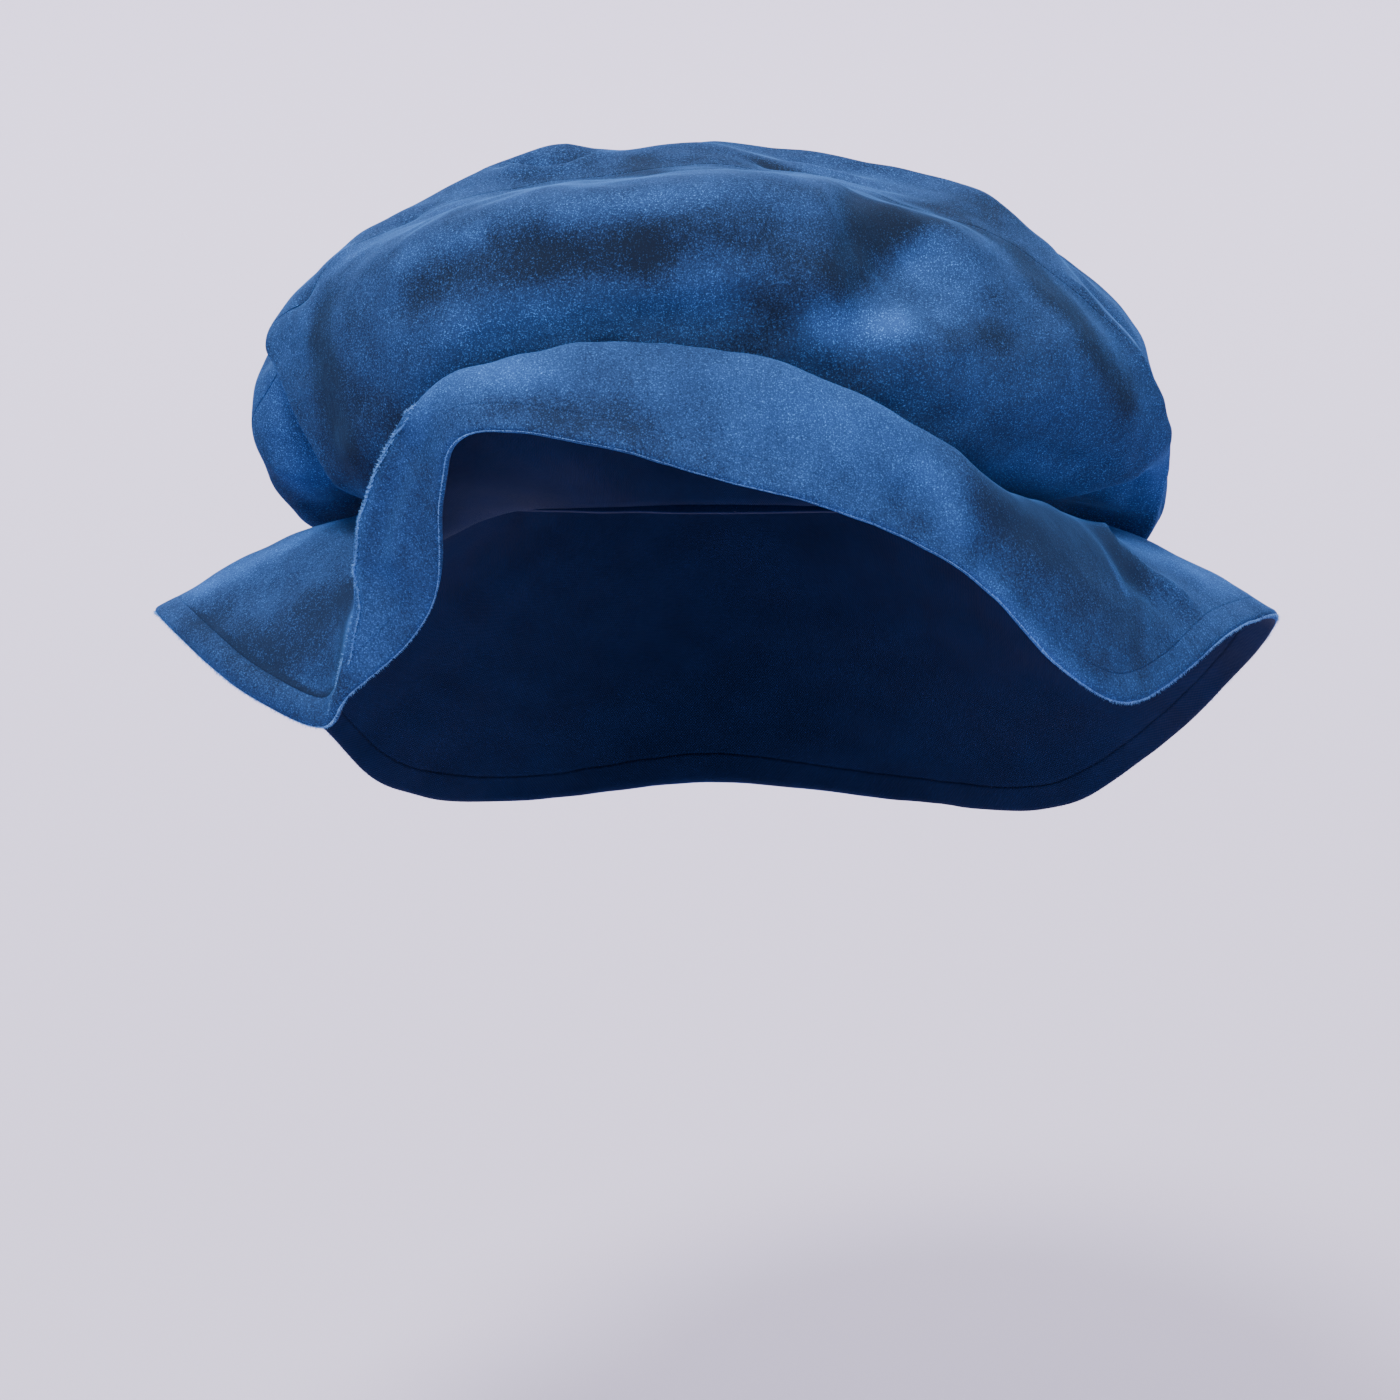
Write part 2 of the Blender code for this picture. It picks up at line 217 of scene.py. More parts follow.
# a new object in the scene, at the origin
def addObject(name, data):
    made = bpy.data.objects.new(name, data)
    bpy.context.scene.collection.objects.link(made)
    return made


# the four corners of each cell, station by station, with the last station joined to the first
def gridQuads(stations, rows, flip):
    i = np.arange(stations)[:, None]
    j = np.arange(rows)[None, :]
    near = i * (rows + 1) + j
    far = (i + 1) % stations * (rows + 1) + j
    quads = np.stack([near, far, far + 1, near + 1], axis=-1).reshape(-1, 4)
    return quads[:, ::-1] if flip else quads


# a mesh of a closed grid; UV is metres along the round and metres across from the first row, and each mark
# is a value for every point of the grid
def makeSheet(name, grid, materials, thickness=0.0, flip=False, pole=False, marks=None, linedRows=0):
    stations, rows = grid.shape[0], grid.shape[1] - 1
    aroundStep = np.linalg.norm(np.roll(grid, -1, axis=0) - grid, axis=2).max(axis=1)
    around = np.concatenate([[0], np.cumsum(aroundStep)]) * mm
    spans = np.linalg.norm(np.diff(grid, axis=1), axis=2)
    across = np.concatenate([np.zeros((stations, 1)), np.cumsum(spans, axis=1)], axis=1) * mm
    quadRows = rows - 1 if pole else rows
    flat = grid[:, :quadRows + 1].reshape(-1, 3)
    quads = gridQuads(stations, quadRows, flip)
    loops = quads.ravel()
    station, row = loops // (quadRows + 1), loops % (quadRows + 1)
    closing = (np.repeat(quads.max(axis=1) - quads.min(axis=1), 4) > 2 * (quadRows + 1)) & (station == 0)
    u = np.where(closing, around[-1], around[station])
    v = across[station, row]
    sizes = np.full(len(quads), 4)
    if pole:
        first = np.arange(stations) * (quadRows + 1) + quadRows
        ring = np.stack([first, np.roll(first, -1), np.full(stations, len(flat))], axis=-1)
        flat = np.concatenate([flat, grid[:1, -1]])
        loops = np.concatenate([loops, ring.ravel()])
        sizes = np.concatenate([sizes, np.full(stations, 3)])
        tipU = np.stack([around[:-1], around[1:], (around[:-1] + around[1:]) / 2], axis=-1)
        tipV = np.stack([across[:, -2], np.roll(across[:, -2], -1), across[:, -1]], axis=-1)
        u = np.concatenate([u, tipU.ravel()])
        v = np.concatenate([v, tipV.ravel()])
    mesh = bpy.data.meshes.new(name)
    mesh.vertices.add(len(flat))
    mesh.vertices.foreach_set("co", (flat * mm).ravel())
    mesh.loops.add(len(loops))
    mesh.loops.foreach_set("vertex_index", loops)
    mesh.polygons.add(len(sizes))
    mesh.polygons.foreach_set("loop_start", np.concatenate([[0], np.cumsum(sizes)[:-1]]))
    mesh.polygons.foreach_set("use_smooth", np.ones(len(sizes), bool))
    mesh.update(calc_edges=True)
    mesh.uv_layers.new(name="cloth").data.foreach_set("uv", np.stack([u, v], axis=-1).ravel())
    for mark, values in (marks or {}).items():
        values = values[:, :quadRows + 1].ravel()
        if pole:
            values = np.append(values, 0.0)
        mesh.attributes.new(mark, "FLOAT", "POINT").data.foreach_set("value", values)
    if linedRows:
        lined = np.tile(np.arange(rows) < linedRows, stations)
        mesh.polygons.foreach_set("material_index", lined.astype(np.int32))
    for material in materials:
        mesh.materials.append(material)
    piece = addObject(name, mesh)
    if thickness:
        wall = piece.modifiers.new("Cloth wall", "SOLIDIFY")
        wall.thickness = thickness * mm
        wall.offset = -1.0
        wall.material_offset = len(materials) - 1
        wall.material_offset_rim = 0
    return piece


# rides on the body and stands for a node of the frame
def finishPiece(piece, node):
    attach(piece, "root")
    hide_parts(node)
    print("made", piece.name)


# a shader socket that can stand in an expression like a number
class Value:
    def __init__(self, tree, socket):
        self.tree = tree
        self.socket = socket

    def maths(self, operation, other=None):
        node = self.tree.nodes.new("ShaderNodeMath")
        node.operation = operation
        terms = [self] if other is None else [self, other]
        for place, term in enumerate(terms):
            if isinstance(term, Value):
                self.tree.links.new(term.socket, node.inputs[place])
            else:
                node.inputs[place].default_value = term
        return Value(self.tree, node.outputs[0])

    def __add__(self, other):
        return self.maths("ADD", other)

    def __sub__(self, other):
        return self.maths("SUBTRACT", other)

    def __mul__(self, other):
        return self.maths("MULTIPLY", other)

    def __pow__(self, other):
        return self.maths("POWER", other)

    __radd__ = __add__
    __rmul__ = __mul__

    def clamp(self):
        return self.maths("MAXIMUM", 0.0).maths("MINIMUM", 1.0)


# a material, and its nodes by short names
class Shader:
    def __init__(self, name):
        self.material = bpy.data.materials.new(name)
        self.material.use_nodes = True
        self.tree = self.material.node_tree
        self.surface = self.tree.nodes["Principled BSDF"]

    # any node: its type, its settings, its sockets by name or number, and the output wanted
    def node(self, kind, settings=None, sockets=None, output=0):
        made = self.tree.nodes.new(kind)
        for key, value in (settings or {}).items():
            setattr(made, key, value)
        for key, value in (sockets or {}).items():
            if isinstance(value, Value):
                self.tree.links.new(value.socket, made.inputs[key])
            else:
                made.inputs[key].default_value = value
        return Value(self.tree, made.outputs[output])

    # coordinates in the object's own space
    def place(self):
        return self.node("ShaderNodeTexCoord", output=3)

    # a mark that the mesh carries for each point
    def mark(self, name):
        return self.node("ShaderNodeAttribute", {"attribute_name": name}, output=2)

    def bump(self, height):
        return self.node("ShaderNodeBump", {}, {"Height": height, "Strength": 1.0, "Distance": mm})

    def noise(self, where, scale, detail=2.0, roughness=0.5):
        return self.node("ShaderNodeTexNoise", {}, {
            "Vector": where, "Scale": scale, "Detail": detail, "Roughness": roughness,
        })

    # smooth step of a value between two numbers
    def band(self, value, low, high):
        return self.node("ShaderNodeMapRange", {"interpolation_type": "SMOOTHSTEP"}, {
            "Value": value, "From Min": low, "From Max": high,
        })

    def mixColour(self, factor, first, second):
        return self.node("ShaderNodeMix", {"data_type": "RGBA"}, {
            0: factor, 6: first, 7: second,
        }, output=2)

    def fixed(self, **values):
        for key, value in values.items():
            self.surface.inputs[key.replace("_", " ")].default_value = value

    def feed(self, socket, value):
        self.tree.links.new(value.socket, self.surface.inputs[socket])


def colour(red, green, blue):
    return (red, green, blue, 1.0)


# velvet: a dark ground, lighter in random patches, mottle and streaks of the pile and in painted light and
# shade, with painted glints, a painted highlight along sharp folds and painted sheen at grazing angles
def velvet(name, look):
    shader = Shader(name)
    place = shader.place()
    uv = shader.node("ShaderNodeUVMap", {"uv_map": "cloth"})
    strokePlace = shader.node("ShaderNodeMapping", {}, {"Vector": uv, "Scale": look["strokeScale"]})
    patches = shader.band(shader.noise(place, look["patchScale"], 3.0), *look["patchBand"])
    mottle = shader.noise(place, look["mottleScale"], 4.0, 0.6)
    strokes = shader.noise(strokePlace, 1.0, 3.0, 0.65)
    pile = shader.noise(place, look["pileScale"], 2.0, 0.8)
    glint = shader.band(pile, *look["glintBand"])
    sparkle = shader.band(shader.noise(place, look["sparkleScale"], 0.0), *look["sparkleBand"])
    # painted highlight along fold crests, from the mesh's mark
    shine = shader.mark("shine")
    # painted light and shade that the mesh carries for each point
    paintedShading = shader.mark("paintedShading")
    turned = shader.node("ShaderNodeLayerWeight", {}, {"Blend": 0.5}, output=1)
    # the ground's tone: random pile patches, mottle, streaks and grain, plus the mark's painted light and shade
    toneAndPaintedShade = (patches * look["patches"] + (mottle - 0.5) * look["mottle"] + (strokes - 0.5) * look["strokes"]
            + (pile - 0.5) * look["grain"] + paintedShading + look["toneAndPaintedShade"]).clamp()
    ground = shader.mixColour(toneAndPaintedShade, colour(*look["dark"]), colour(*look["light"]))
    # painted sheen where the cloth turns away from the eye, and a thin painted highlight along the outline
    rim = turned ** look["rimPower"] * look["rim"] * (look["rimBase"] + toneAndPaintedShade)
    edge = turned ** look["edgePower"] * look["edge"]
    # painted highlights: glints and sparkles of the pile, fold crests and sheen, mixed towards the highlight
    # colour
    paintedHighlights = (glint * (look["glint"] * (look["glintBase"] + toneAndPaintedShade)) + sparkle * (look["sparkle"] * toneAndPaintedShade * toneAndPaintedShade)
            + shine * (look["shineBase"] + glint * look["shineGlint"]) + (rim + edge)).clamp()
    shader.feed("Base Color", shader.mixColour(paintedHighlights, ground, colour(*look["paintedHighlightColour"])))
    shader.feed("Roughness", look["rough"] + look["roughMottle"] * mottle)
    creases = shader.noise(place, look["creaseScale"], 3.0, 0.55)
    height = (pile * look["pileHeight"] + strokes * look["strokeHeight"] + mottle * look["mottleHeight"]
              + creases * look["creaseHeight"])
    shader.feed("Normal", shader.bump(height))
    shader.fixed(Sheen_Weight=look["sheen"], Sheen_Roughness=look["sheenRoughness"],
                 Sheen_Tint=colour(*look["sheenTint"]), Specular_IOR_Level=look["specular"])
    return shader.material


# plain woven cloth: two crossing sets of threads from the sine of the UV, with slubs
def wovenCloth(name, look):
    shader = Shader(name)
    place = shader.place()
    uv = shader.node("ShaderNodeUVMap", {"uv_map": "cloth"})
    u, v = (shader.node("ShaderNodeSeparateXYZ", {}, {"Vector": uv}, output=axis) for axis in (0, 1))
    turns = 2 * math.pi / look["threadPitch"]
    weave = (u * turns).maths("SINE") * (v * turns).maths("SINE")
    slub = shader.noise(place, look["slubScale"], 3.0, 0.6)
    tone = (0.5 + weave * look["weaveTone"] + (slub - 0.5) * look["slubTone"]).clamp()
    shader.feed("Base Color", shader.mixColour(tone, colour(*look["dark"]), colour(*look["light"])))
    shader.feed("Roughness", look["rough"] + look["roughSlub"] * slub)
    height = weave * look["threadHeight"] + slub * look["slubHeight"]
    shader.feed("Normal", shader.bump(height))
    shader.fixed(Sheen_Weight=look["sheen"], Sheen_Roughness=look["sheenRoughness"],
                 Specular_IOR_Level=look["specular"])
    return shader.material


# dark and light are the ground's tones; the third colour is that of the painted glints, crest highlights and
# sheen
velvetLook = {
    "dark": (0.0135, 0.0220, 0.047), "light": (0.038, 0.098, 0.31), "paintedHighlightColour": (0.09, 0.34, 0.98),
    "toneAndPaintedShade": 0.26, "patches": 0.22, "mottle": 0.6, "strokes": 0.4, "grain": 1.3,
    "patchScale": 13.0, "patchBand": (0.35, 0.68), "mottleScale": 90.0, "strokeScale": (900.0, 130.0, 1.0),
    "pileScale": 2100.0, "creaseScale": 42.0, "sparkleScale": 2700.0, "sparkleBand": (0.68, 0.74),
    "sparkle": 1.5, "glint": 0.45, "glintBase": 0.25, "glintBand": (0.56, 0.70),
    "shineBase": 0.25, "shineGlint": 0.9,
    "rim": 0.08, "rimPower": 4.0, "rimBase": 0.4, "edge": 0.4, "edgePower": 14.0,
    "pileHeight": 0.25, "strokeHeight": 0.2, "mottleHeight": 0.7, "creaseHeight": 1.8,
    "rough": 0.78, "roughMottle": 0.16, "specular": 0.03,
    "sheen": 0.14, "sheenRoughness": 0.35, "sheenTint": (0.08, 0.36, 1.0),
}
# the brim's velvet is the crown's cloth painted lighter, standing for the light that falls on the brim
brimLook = velvetLook | {"dark": (0.0160, 0.029, 0.072), "light": (0.046, 0.128, 0.41)}
liningLook = {
    "dark": (0.0042, 0.0088, 0.035), "light": (0.0076, 0.0190, 0.076), "weaveTone": 0.12, "slubTone": 0.9,
    "threadPitch": 0.0009, "threadHeight": 0.10, "slubScale": 60.0, "slubHeight": 0.8,
    "rough": 0.62, "roughSlub": 0.2, "specular": 0.04, "sheen": 0.02, "sheenRoughness": 0.5,
}
backLook = liningLook | {
    "dark": (0.0020, 0.0060, 0.030), "light": (0.0036, 0.0120, 0.060),
    "threadPitch": 0.0011, "threadHeight": 0.12, "slubScale": 80.0, "slubHeight": 0.7,
}
crownVelvet = velvet("crown_velvet", velvetLook)
brimVelvet = velvet("brim_velvet", brimLook)
liningCloth = wovenCloth("lining_cloth", liningLook)
velvetBack = wovenCloth("velvet_back", backLook)
print("materials made")


# the crown: a side and a top that meet at the rim seam
crown = {
    "stations": 360, "sideRows": 120, "topRows": 96, "fineRows": 240,
    "seamInset": 0.5, "seamLift": 1.0, "middle": (0.0, 40.0, 97.0), "crestShare": 0.55, "domePower": 2.2,
    "rimGap": 0.1, "seamRoll": 0.35, "seamAllowance": 2.4, "wall": 1.4,
    "gathers": 26, "gatherDepth": 0.9, "gatherReach": 0.22, "evenRows": 40, "evenReach": 6, "spansToRim": 5,
    "ripples": ((0.5, 34, 5), (0.22, 14, 8)), "domeFade": 4,
    "tuckDepths": (3.4, 1.7), "tuckFlare": 0.9, "flareRise": 2.5, "flareStart": 0.75,
}
# at | bulge x y z | face x y z | ledge x y z | side x y z | rim x y z | top x y z
crownSections = np.array((
    (-5, 116, -6, 8, 121, -6, 10, 126, -6, 11, 129, -6, 14, 127, -10, 26, 124, 22, 44),
    (8, 112, 14, -6, 117, 14, -9, 123, 14, -13, 127, 14, -14, 131, 14, -4, 127, 34, 28),
    (20, 106, 30, -18, 111, 31, -22, 116, 33, -27, 120, 34, -28, 128, 34, -20, 120, 48, 18),
    (35, 98, 54, -26, 102, 56, -29, 106, 58, -33, 110, 60, -34, 116, 62, -22, 106, 68, 22),
    (60, 58, 98, -34, 61, 102, -35, 64, 106, -36, 66, 110, -36, 70, 114, -18, 62, 104, 34),
    (90, 0, 116, -36, 0, 121, -35, 0, 126, -33, 0, 130, -30, 0, 136, -6, 0, 116, 48),
    (120, -58, 98, -34, -61, 102, -35, -64, 106, -36, -66, 110, -36, -70, 114, -18, -62, 104, 34),
    (145, -94, 56, -26, -99, 57, -28, -104, 59, -30, -108, 60, -30, -114, 60, -16, -106, 66, 26),
    (162, -106, 28, -14, -109, 29, -16, -113, 29, -17, -116, 30, -18, -126, 30, -6, -124, 40, 30),
    (172, -108, 10, 0, -112, 10, -1, -117, 11, -2, -121, 11, -2, -135, 14, 18, -129, 26, 40),
    (181, -102, -6, 7, -106, -6, 9, -110, -6, 11, -113, -6, 14, -127, 0, 36, -120, 12, 54),
    (187, -104, -22, 10, -110, -25, 17, -114, -28, 27, -118, -28, 36, -126, -12, 54, -116, 8, 62),
    (197, -100, -40, 12, -107, -44, 21, -111, -46, 34, -114, -44, 46, -116, -26, 66, -108, 4, 72),
    (212, -92, -62, 20, -99, -66, 34, -100, -67, 54, -101, -62, 70, -103, -22, 80, -98, 4, 80),
    (228, -76, -82, 38, -80, -85, 54, -79, -85, 74, -78, -81, 88, -82, -15, 88, -80, 6, 89),
    (242, -51, -90, 54, -53, -92, 69, -53, -93, 86, -53, -90, 98, -56, -12, 96, -54, 10, 98),
    (256, -27, -95, 60, -28, -96, 75, -27, -96, 89, -27, -94, 101, -30, -12, 99, -29, 10, 101),
    (270, 0, -97, 61, 0, -97, 76, -1, -98, 91, -1, -95, 103, 0, -12, 102, 0, 10, 103),
    (286, 28, -94, 57, 28, -95, 74, 27, -93, 90, 27, -85, 101, 29, -13, 98, 30, 10, 95),
    (295, 42, -92, 50, 41, -92, 70, 40, -80, 84, 38, -68, 99, 42, -20, 96, 43, 10, 93),
    (302, 55, -88, 43, 54, -90, 70, 52, -64, 84, 52, -54, 97, 54, -28, 93, 56, 10, 91),
    (309, 67, -82, 40, 70, -80, 62, 70, -62, 78, 70, -50, 88, 68, -25, 88, 69, 10, 90),
    (316, 77, -72, 36, 84, -71, 50, 87, -62, 64, 86, -44, 76, 84, -20, 80, 82, 8, 86),
    (330, 95, -50, 25, 105, -49, 36, 110, -44, 48, 109, -34, 57, 106, -20, 63, 102, 8, 68),
    (344, 110, -26, 10, 119, -28, 14, 124, -26, 21, 126, -22, 29, 121, -20, 45, 118, 14, 52),
), float)
# paths in millimetres on the cloth; sharp 2 is a round fold and 1 a crease
# shine, where given, paints a highlight along the fold's crest
crownFolds = {
    "left panel edge": {
        "path": ((-126, -12, 54), (-125, -20, 49), (-121, -28, 45), (-117, -34, 38), (-112, -41, 28),
                 (-106, -42, 18), (-101, -42, 11)),
        "width": 5, "depth": 3.2, "sharp": 1.2, "shine": 0.8,
    },
    "behind left panel": {
        "path": ((-125, -3, 42), (-116, -8, 28), (-106, -10, 14)),
        "width": 6, "depth": -4.0, "sharp": 2,
    },
    "left pouch facet": {"path": ((-132, 11, 33), (-127, 0, 38)), "width": 4, "depth": 1.6, "sharp": 1.2},
    "left pouch bulge": {"path": ((-124, 2, 18), (-116, 8, 2)), "width": 9, "depth": 3.5, "sharp": 2},
    "right pouch bulge": {
        "path": ((102, 10, 0), (114, 4, 2), (125, -4, 8)),
        "width": 9, "depth": 4.5, "sharp": 2,
    },
    "top notch edge": {
        "path": ((-60, 5, 96), (-53, -3, 97), (-48, -5, 97), (-42, -4, 98), (-36, 1, 99), (-30, 8, 100)),
        "width": 2.6, "depth": 2.6, "sharp": 1.2, "shine": 1.0,
    },
    "top notch dip": {
        "path": ((-60, 11, 96), (-52, 5, 97), (-44, 4, 97), (-36, 9, 99)),
        "width": 3.4, "depth": -4.0, "sharp": 2,
    },
    "top notch far side": {
        "path": ((-68, 17, 92), (-57, 16, 95), (-46, 16, 97), (-34, 18, 99)),
        "width": 5.5, "depth": 2.8, "sharp": 2,
    },
    "top dimple": {"path": ((-17, -34, 102), (-16, -22, 103)), "width": 5, "depth": -1.8, "sharp": 2},
    "pit": {
        "path": ((12, -1, 99), (18, -2, 98), (25, -2, 96), (38, -4, 92), (50, -6, 88)),
        "width": 2.6, "depth": -3.4, "sharp": 1.2,
    },
    "over pit": {"path": ((20, 8, 98), (30, 8, 95), (42, 4, 92)), "width": 4, "depth": 1.8, "sharp": 1.5},
    "front dimple": {"path": ((-56, -90, 98), (-44, -92, 99)), "width": 9, "depth": -3.0, "sharp": 2},
    "left shoulder dimple": {"path": ((-80, -82, 88), (-68, -86, 92)), "width": 9, "depth": -3.0, "sharp": 2},
    "right shoulder dent": {"path": ((78, -60, 62), (92, -44, 66)), "width": 10, "depth": -2.2, "sharp": 2},
    "right panel edge": {
        "path": ((100, -15, 69), (107, -16, 61), (113, -19, 54), (120, -21, 46), (125, -20, 35),
                 (128, -12, 20)),
        "width": 3.4, "depth": 2.2, "sharp": 1.2, "shine": 0.7,
    },
    "behind right panel": {
        "path": ((104, 2, 66), (116, 2, 52), (124, 0, 38)),
        "width": 7, "depth": -3.4, "sharp": 2,
    },
    "left crease": {"path": ((-92, -17, 84), (-84, -10, 88)), "width": 3, "depth": -2.2, "sharp": 1.2},
    "left rim tuck": {"path": ((-120, -24, 62), (-112, -28, 70)), "width": 3, "depth": -1.4, "sharp": 1.2},
    "under right panel": {
        "path": ((84, -70, 30), (94, -56, 26), (104, -42, 21), (114, -32, 19), (124, -22, 21)),
        "width": 5, "depth": -2.4, "sharp": 1.6,
    },
    "back left fold": {
        "path": ((-96, 70, 40), (-60, 96, 52), (-30, 100, 60)),
        "width": 14, "depth": 3.0, "sharp": 2,
    },
    "back right fold": {
        "path": ((84, 60, 58), (48, 84, 66), (20, 92, 68)),
        "width": 12, "depth": -3.0, "sharp": 2,
    },
    "back middle fold": {
        "path": ((-10, 70, 84), (6, 104, 62), (8, 126, 34)),
        "width": 11, "depth": 2.5, "sharp": 2,
    },
}


# painted light and shade on the crown: lighter on lit folds and shadowed pouches, darker in hollows and
# undersides
crownPaintedShading = {
    "lower face": {"path": ((-67, -91, 74), (-31, -96, 79), (-2, -98, 84)), "width": 8, "paintedShading": 0.35},
    "lower face, right": {"path": ((10, -97, 82), (22, -95, 80)), "width": 8, "paintedShading": -0.25},
    "under the shoulder": {
        "path": ((-18, -96, 98), (-10, -96, 104), (1, -94, 103), (12, -92, 100)),
        "width": 9, "paintedShading": -0.24,
    },
    "under the left shoulder": {
        "path": ((-80, -80, 84), (-59, -89, 90), (-46, -91, 95)),
        "width": 9, "paintedShading": -0.22,
    },
    "between the shoulders": {
        "path": ((-44, -92, 93), (-32, -94, 95), (-20, -96, 97)),
        "width": 8, "paintedShading": -0.25,
    },
    "right of the shoulders": {"path": ((14, -92, 98), (28, -90, 90)), "width": 9, "paintedShading": -0.1},
    "behind the shoulder": {
        "path": ((-90, -12, 85), (-70, -12, 93), (-44, -11, 97), (-20, -18, 100), (12, -2, 99)),
        "width": 12, "paintedShading": -0.12,
    },
    "dimple": {"path": ((-21, 0, 101), (-19, -20, 101)), "width": 5, "paintedShading": -0.3},
    "slits": {"path": ((14, 0, 99), (24, -2, 97), (38, -4, 93)), "width": 3, "paintedShading": -0.35},
    "left shoulder": {"path": ((-86, -70, 88), (-74, -77, 94), (-66, -81, 97)), "width": 5, "paintedShading": 0.3},
    "middle shoulder": {"path": ((-42, -88, 105), (-21, -90, 109), (-4, -89, 110)), "width": 5, "paintedShading": 0.3},
    "left panel": {
        "path": ((-112, -36, 68), (-110, -50, 57), (-106, -57, 45), (-105, -58, 33)),
        "width": 10, "paintedShading": -0.5,
    },
    "hollow": {"path": ((35, -88, 87), (37, -79, 92), (40, -69, 96), (47, -57, 98)), "width": 11, "paintedShading": -0.48},
    "behind the hollow": {"path": ((46, -46, 98), (61, -19, 91), (76, -5, 86)), "width": 13, "paintedShading": -0.4},
    "lit fold": {"path": ((54, -61, 85), (61, -56, 89), (68, -58, 83)), "width": 6, "paintedShading": 0.3},
    "lit fold, lower end": {"path": ((28, -94, 76), (39, -91, 75), (49, -88, 75)), "width": 7, "paintedShading": 0.7},
    "right of the lit fold": {"path": ((57, -89, 69), (69, -75, 69), (79, -67, 66)), "width": 7, "paintedShading": -0.3},
    "right ridge": {
        "path": ((42, -54, 101), (54, -50, 97), (63, -40, 93), (74, -26, 86)),
        "width": 5, "paintedShading": -0.4,
    },
    "over the lit fold": {"path": ((59, -61, 85), (65, -70, 76), (60, -87, 70)), "width": 7, "paintedShading": 0.2},
    "lower face, middle": {"path": ((7, -97, 68), (23, -95, 72), (37, -94, 63)), "width": 7, "paintedShading": -0.22},
    "left panel, front": {"path": ((-94, -72, 52), (-88, -79, 44)), "width": 7, "paintedShading": -0.3},
    "left edge": {
        "path": ((-102, -34, 80), (-108, -33, 75), (-111, -34, 71), (-115, -35, 64)),
        "width": 6, "paintedShading": 0.35,
    },
    "right shoulder": {
        "path": ((86, -24, 78), (97, -37, 69), (107, -43, 57), (116, -37, 42)),
        "width": 8, "paintedShading": -0.45,
    },
    "left pouch": {
        "path": ((-127, 1, 29), (-124, -1, 18), (-119, -1, 7), (-110, 6, 0)),
        "width": 9, "paintedShading": 0.5,
    },
    "left pouch, bottom": {"path": ((-114, -1, 6), (-110, 10, -3)), "width": 8, "paintedShading": 0.6},
    "right bottom": {"path": ((80, -56, 20), (95, -30, 10), (108, 0, 0)), "width": 10, "paintedShading": 0.7},
    "right pouch": {"path": ((98, 17, -5), (112, 11, -3), (126, -1, 6)), "width": 13, "paintedShading": 0.9},
}


# from the opening, out over bulge, side and rim seam, and over the top's shoulder to the middle: a cubic
# through each section and closed curves round them, the top's stations averaged with their neighbours by a
# triangle of weights, and the cloth then lifted along its normals by gathers, folds and ripples
def crownSurface():
    count = crown["stations"]
    angle = np.radians(roundSpline(crownSections[:, 0], count, 360.0))
    seam = openingPoint(angle)
    inward = 1 - crown["seamInset"] / np.linalg.norm(seam[:, :2], axis=1, keepdims=True)
    seam = np.concatenate([seam[:, :2] * inward, seam[:, 2:] + crown["seamLift"]], axis=1)
    columns = sectionCurves(crownSections, count)
    middle = np.broadcast_to(crown["middle"], seam.shape)
    share = crown["crestShare"]
    crest = middle + (columns[-1] - middle) * (share, share, share ** crown["domePower"])
    points = np.stack([seam] + columns + [crest, middle], axis=1)
    spans = np.linalg.norm(np.diff(points, axis=1), axis=2)
    rimShare = (spans[:, :crown["spansToRim"]].sum(axis=1) / spans.sum(axis=1))[:, None]
    steps = np.linspace(0, 1, crown["fineRows"] + 1)
    at = np.concatenate([rimShare * steps, rimShare + (1 - rimShare) * steps[1:]], axis=1)
    grid = sectionSpline(points, at)
    reach = crown["evenReach"]
    nearby = range(-reach, reach + 1)
    evened = sum(np.roll(grid, k, axis=0) * (reach + 1 - abs(k)) for k in nearby) / (reach + 1) ** 2
    pastRim = np.arange(grid.shape[1]) - crown["fineRows"]
    share = np.clip(pastRim / crown["evenRows"], 0, 1)[:, None]
    grid = grid * (1 - share) + evened * share
    normal = normalsOf(grid)
    rise = np.concatenate([steps, np.ones(crown["fineRows"])])
    nearSeam = np.clip(rise / crown["gatherReach"], 0, 1) * np.exp(-((rise / crown["gatherReach"]) ** 2))
    gather = crown["gatherDepth"] * nearSeam * np.cos(crown["gathers"] * angle)[:, None]
    lift = withRipples(foldHeight(grid, crownFolds) + gather, grid, crown["ripples"])
    fade = np.concatenate([np.ones(crown["fineRows"] + 1), 1 - steps[1:] ** crown["domeFade"]])
    return grid + normal * (lift * fade)[:, :, None]


# rows that tuck the seam in below the first row: straight down, and flared outward towards the front by
# rise * share of the half length - start, held between 0 and 1
def tuckRows(first):
    outward = first * (1, 1, 0) / np.linalg.norm(first[:, :, :2], axis=2, keepdims=True)
    towardsFront = -first[:, :, 1:2] / opening["halfLength"]
    flare = np.clip(towardsFront * crown["flareRise"] - crown["flareStart"], 0, 1)
    way = outward * flare * crown["tuckFlare"] - (0, 0, 1)
    return first + way * np.array(crown["tuckDepths"])[None, :, None]


cloth = crownSurface()
rimEdge = crown["rimGap"] / 2 + crown["seamRoll"]
side = resample(cloth[:, :crown["fineRows"] + 1], 0.0, -rimEdge, crown["sideRows"])
side = turnIn(side, crown["seamRoll"], crown["seamAllowance"])
side = np.concatenate([tuckRows(side[:, :1]), side], axis=1)
top = resample(cloth[:, crown["fineRows"]:], rimEdge, 0.0, crown["topRows"])
top = turnIn(top, crown["seamRoll"], crown["seamAllowance"], atEnd=False)
